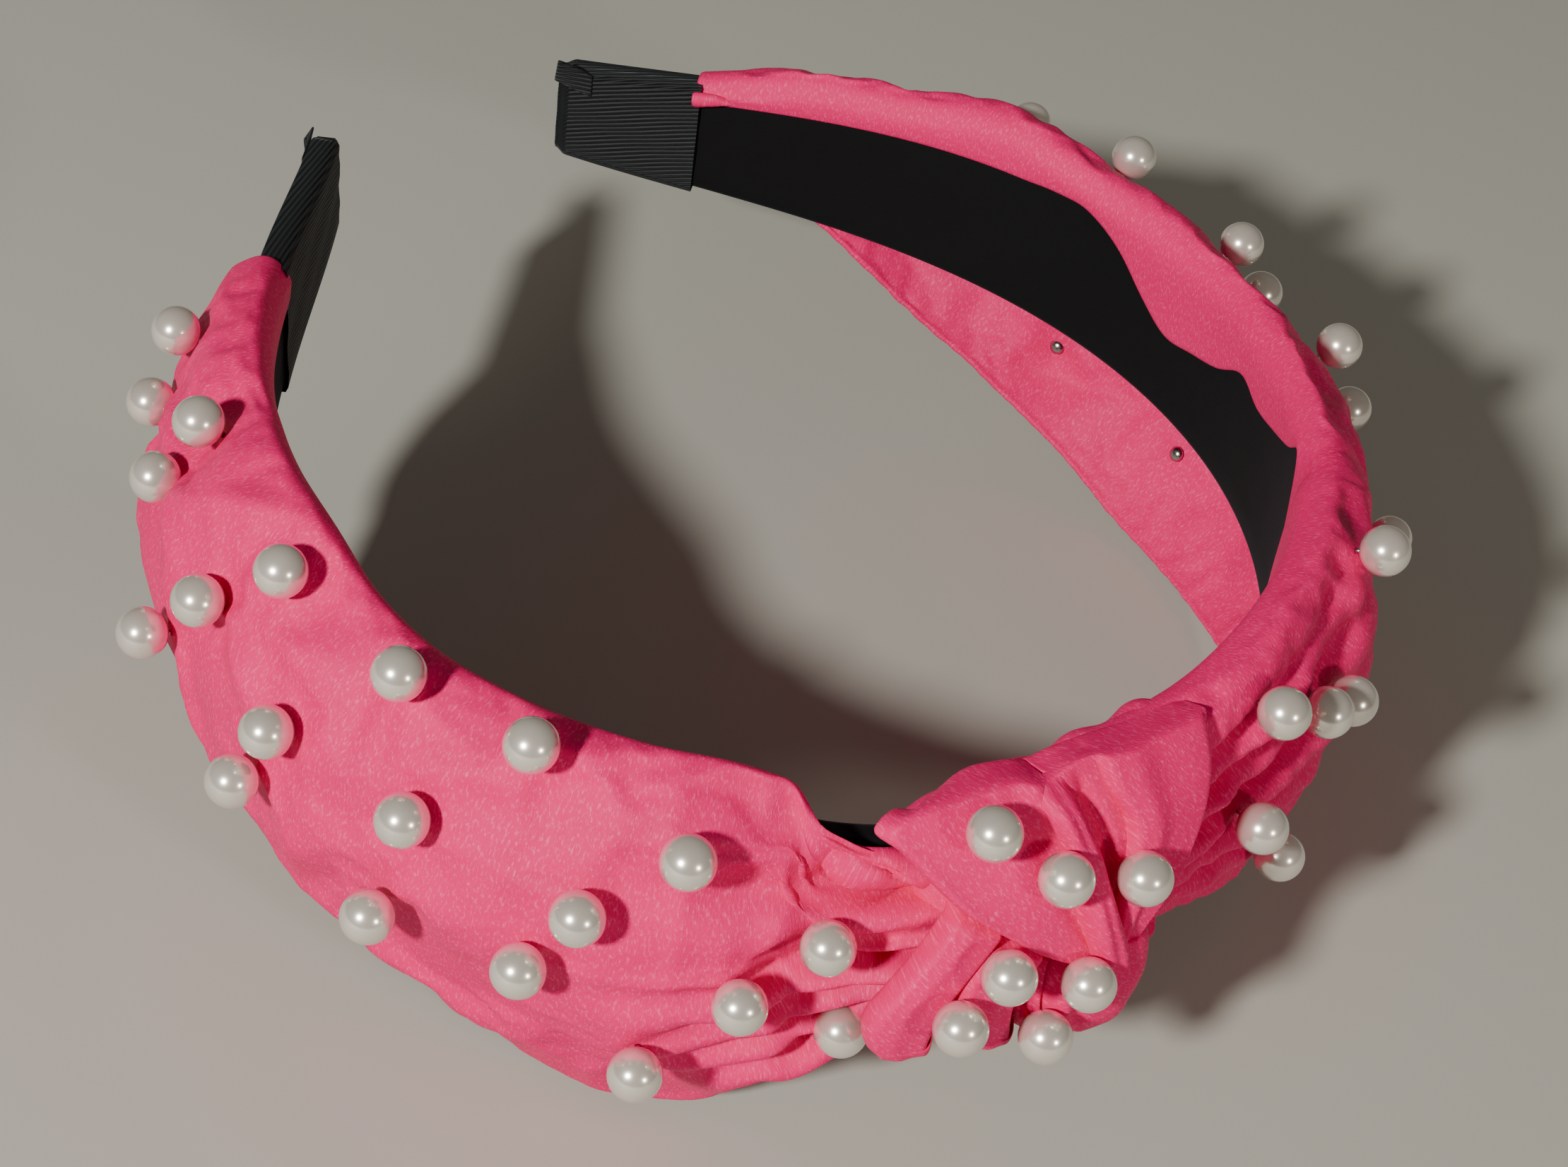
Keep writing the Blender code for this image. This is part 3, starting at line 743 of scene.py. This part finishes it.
def wrap(name, sign, length, tail):
    """Ribbon folded round the end of one arm and closed over its tip, with its loose cut end."""
    rows, uvs = [], []
    last = HALF_LENGTH + 0.4
    for s in np.linspace(HALF_LENGTH - length + 0.4, last, 60):
        half = half_width(s) + 0.45
        close = smooth(last - 1.6, last, s)
        a, b = -2.5 + close * 0.5, 1.5 - close * 0.5
        half = half - close * 0.5
        loop = []
        for o, h in ((a, -half + 0.8), (a + 0.35, -half), (b - 0.35, -half), (b, -half + 0.8)):
            loop.append((o, h))
        for k in range(1, 8):
            loop.append((b + 0.06 * math.sin(k * 2.1 + s * 0.3), -half + 0.8 + (2 * half - 1.6) * k / 8))
        for o, h in ((b, half - 0.8), (b - 0.35, half), (a + 0.35, half), (a, half - 0.8)):
            loop.append((o, h))
        for k in range(1, 8):
            loop.append((a - 0.10 * math.sin(k * 1.7 + s * 0.25), half - 0.8 - (2 * half - 1.6) * k / 8))
        loop.append(loop[0])
        rows.append([place(sign * s, o, h) for o, h in loop])
        walk = np.concatenate([[0], np.cumsum(np.linalg.norm(np.diff(np.array(loop), axis=0), axis=1))])
        uvs.append([(s, w) for w in walk])
    obj = grid_object(name, rows, uvs, GROSGRAIN)
    bm = bmesh.new()
    bm.from_mesh(obj.data)
    bmesh.ops.remove_doubles(bm, verts=bm.verts, dist=1e-6)
    far = [e for e in bm.edges if e.is_boundary and (e.verts[0].co - place(sign * last, 0, 0)).length < 0.012]
    bmesh.ops.holes_fill(bm, edges=far, sides=0)
    bmesh.ops.recalc_face_normals(bm, faces=bm.faces)
    bm.to_mesh(obj.data)
    bm.free()
    obj.data.shade_smooth()
    rows, uvs = [], []
    for i in range(14):
        u = i / 13
        row, uv = [], []
        for j in range(12):
            v = j / 11
            s, o, h = tail(u, v)
            row.append(place(sign * s, o, h))
            uv.append((s, h))
        rows.append(row)
        uvs.append(uv)
    flap = grid_object(name + "_tail", rows, uvs, GROSGRAIN)
    thicken(flap, 0.35)
    return obj, flap


def tail_right(u, v):
    """The ribbon's cut end, lifting off the tip along the upper edge."""
    s = 187.5 + 4.6 * u + 0.8 * v * u
    return s, -2.7 - 1.4 * u * u * (1 - v), 7.2 - 3.4 * v * (1 - 0.4 * u) + 2.2 * u * (1 - v)


def tail_left(u, v):
    """The narrow cut end past the left tip."""
    return 186.0 + 8.5 * u, 1.7 + 1.3 * u * u * v, 7.0 - 8.0 * v * (1 - 0.72 * u) - 0.6 * u


wrap_left, wrap_left_tail = wrap("grosgrain_wrap_left", -1, WRAP_LEFT, tail_left)
wrap_right, wrap_right_tail = wrap("grosgrain_wrap_right", 1, WRAP_RIGHT, tail_right)


# Pearl studs.

def stud_piece(name):
    pole, axis = STUDS[name]
    turn = axis.to_track_quat("Z", "Y").to_matrix().to_4x4()
    place_at = Matrix.Translation(pole) @ turn
    bm = bmesh.new()
    bmesh.ops.create_uvsphere(bm, u_segments=40, v_segments=24, radius=BEAD * MM)
    bmesh.ops.scale(bm, vec=(1.0, 1.0, 0.985), verts=bm.verts)
    bmesh.ops.translate(bm, vec=(0, 0, -BEAD * MM), verts=bm.verts)
    for face in bm.faces:
        face.smooth = True
    bm.transform(place_at)
    mesh = bpy.data.meshes.new(name + "_bead")
    bm.to_mesh(mesh)
    bm.free()
    mesh.materials.append(PEARL)
    bead = bpy.data.objects.new(name + "_bead", mesh)
    bpy.context.scene.collection.objects.link(bead)
    return bead


def rivet_piece(name):
    """The pin, with its domed cap where the cloth's inner face is free below the core."""
    pole, axis = STUDS[name]
    turn = axis.to_track_quat("Z", "Y").to_matrix().to_4x4()
    bm = bmesh.new()
    profile = [(0.0, -8.6), (0.45, -8.55), (0.85, -8.35), (1.08, -8.07), (1.12, -7.85), (1.0, -7.7),
               (0.4, -7.7), (0.4, -5.6), (0.0, -5.6)]
    if pole.z > ORIGIN.z - 18 * MM:
        profile = [(0.0, -6.5), (0.35, -6.5), (0.35, -5.6), (0.0, -5.6)]
    verts = [bm.verts.new((r * MM, 0, z * MM)) for r, z in profile]
    edges = [bm.edges.new(pair) for pair in zip(verts, verts[1:])]
    bmesh.ops.spin(bm, geom=verts + edges, cent=(0, 0, 0), axis=(0, 0, 1), angle=math.tau, steps=24,
                   use_merge=True)
    bmesh.ops.remove_doubles(bm, verts=bm.verts, dist=1e-6)
    bmesh.ops.recalc_face_normals(bm, faces=bm.faces)
    for face in bm.faces:
        face.smooth = True
    bm.transform(Matrix.Translation(pole) @ turn)
    mesh = bpy.data.meshes.new(name + "_rivet")
    bm.to_mesh(mesh)
    bm.free()
    mesh.materials.append(STEEL)
    cap = bpy.data.objects.new(name + "_rivet", mesh)
    bpy.context.scene.collection.objects.link(cap)
    return cap


for name in STUDS:
    bead = stud_piece(name)
    body = "crown" if "knot" in name else ("left_arm" if "left" in name else "right_arm")
    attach(bead, body)
    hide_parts(name)
    if body != "crown":
        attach(rivet_piece(name), body)


# What rides with what.

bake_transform(sleeve_left)
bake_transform(sleeve_right)
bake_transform(band_left)
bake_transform(band_right)
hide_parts("cover_left")
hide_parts("cover_right")
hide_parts("core_left", "lining_left", "lining_crown", "core_crown")
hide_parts("core_right", "lining_right")
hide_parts("end_wrap_left")
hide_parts("end_wrap_right")
ribbons = {wrap_left: "left_arm", wrap_left_tail: "left_arm",
           wrap_right: "right_arm", wrap_right_tail: "right_arm"}
for piece, body in ribbons.items():
    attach(piece, body)
for piece in folds.values():
    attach(piece, "crown")
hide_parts("knot_front_wrap")
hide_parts("knot_right_wrap")
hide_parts("knot_lower_strap")
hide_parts("knot_lower_loop")


# Floor, light and camera.

def area_light(name, towards, distance, size, energy, tint):
    data = bpy.data.lights.new(name, "AREA")
    data.shape = "DISK"
    data.size = size
    data.energy = energy
    data.color = colour(tint)[:3]
    obj = bpy.data.objects.new(name, data)
    direction = Vector(towards).normalized()
    obj.location = Vector((0, 0, 0.03)) + direction * distance
    obj.rotation_euler = direction.to_track_quat("Z", "Y").to_euler()
    bpy.context.scene.collection.objects.link(obj)


def stage():
    mesh = bpy.data.meshes.new("floor")
    mesh.from_pydata([(-3, -3, 0), (3, -3, 0), (3, 3, 0), (-3, 3, 0)], [], [(0, 1, 2, 3)])
    made, tree, shader = new_material("matt_paper_floor")
    set_on(tree, shader, Base_Color=colour("#afb0a8"), Roughness=0.8)
    mesh.materials.append(made)
    floor = bpy.data.objects.new("floor", mesh)
    bpy.context.scene.collection.objects.link(floor)
    world = bpy.data.worlds.new("studio")
    bpy.context.scene.world = world
    world.use_nodes = True
    world.node_tree.nodes["Background"].inputs[0].default_value = colour("#c0b8ae")
    world.node_tree.nodes["Background"].inputs[1].default_value = 0.24
    area_light("key", (-0.79, -0.23, 0.57), 1.1, 0.10, 16.0, "#fdf9f2")
    area_light("front", (0.03, -0.93, 0.36), 1.1, 0.10, 2.6, "#fff4e6")


def camera():
    """A long lens from the upper left, a little rolled."""
    lift, turn, roll = math.radians(42.78), math.radians(42.44), math.radians(8.73)
    forward = Vector((math.cos(lift) * math.sin(turn), math.cos(lift) * math.cos(turn), -math.sin(lift)))
    right = Vector((math.cos(turn), -math.sin(turn), 0))
    up = right.cross(forward)
    across = right * math.cos(roll) + up * math.sin(roll)
    above = up * math.cos(roll) - right * math.sin(roll)
    data = bpy.data.cameras.new("camera")
    data.lens = 64.9
    data.sensor_width = 36.0
    data.clip_start = 0.01
    obj = bpy.data.objects.new("camera", data)
    turned = Matrix((across, above, -forward)).transposed().to_4x4()
    obj.matrix_world = Matrix.Translation(ORIGIN + Vector((-175.61, -131.36, 224.08)) * MM) @ turned
    bpy.context.scene.collection.objects.link(obj)
    bpy.context.scene.camera = obj


stage()
camera()
